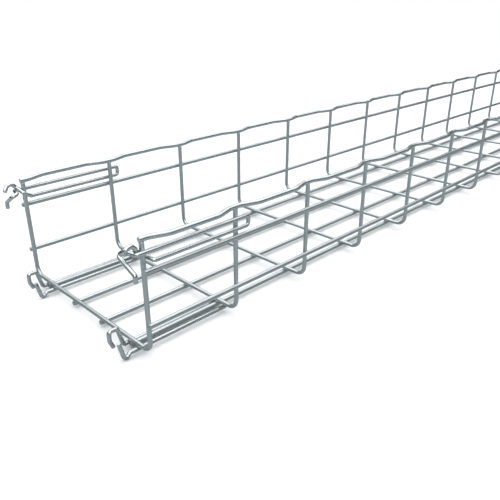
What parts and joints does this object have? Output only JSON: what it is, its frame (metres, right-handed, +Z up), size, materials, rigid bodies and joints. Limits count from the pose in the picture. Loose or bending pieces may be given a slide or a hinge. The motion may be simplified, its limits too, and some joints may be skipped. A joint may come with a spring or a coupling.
{
  "type": "wire mesh cable basket",
  "caption": "Straight length of welded wire mesh cable basket with wavy edge wires and snap couplings on one end.",
  "frame": {"origin": "under the middle of the basket, at the level of the lowest point, which is the dip of the floor catches", "axes": "X along the basket with the coupling end at -X, Y across it with the left wall at +Y, Z up"},
  "size_m": [3.0244, 0.2298, 0.1163],
  "materials": {
    "mesh_wire": "bright zinc plating, satin",
    "edge_wire": "bright zinc plating, satin",
    "coupling_wire": "bright zinc plating, satin"
  },
  "bodies": {
    "root": {"welded_mesh": "mesh_wire", "left_edge_wire": "edge_wire", "right_edge_wire": "edge_wire", "left_wall_coupling": "coupling_wire", "right_wall_coupling": "coupling_wire", "left_floor_hook": "coupling_wire", "left_floor_catch": "coupling_wire", "right_floor_hook": "coupling_wire", "right_floor_catch": "coupling_wire"}
  },
  "joints": []
}
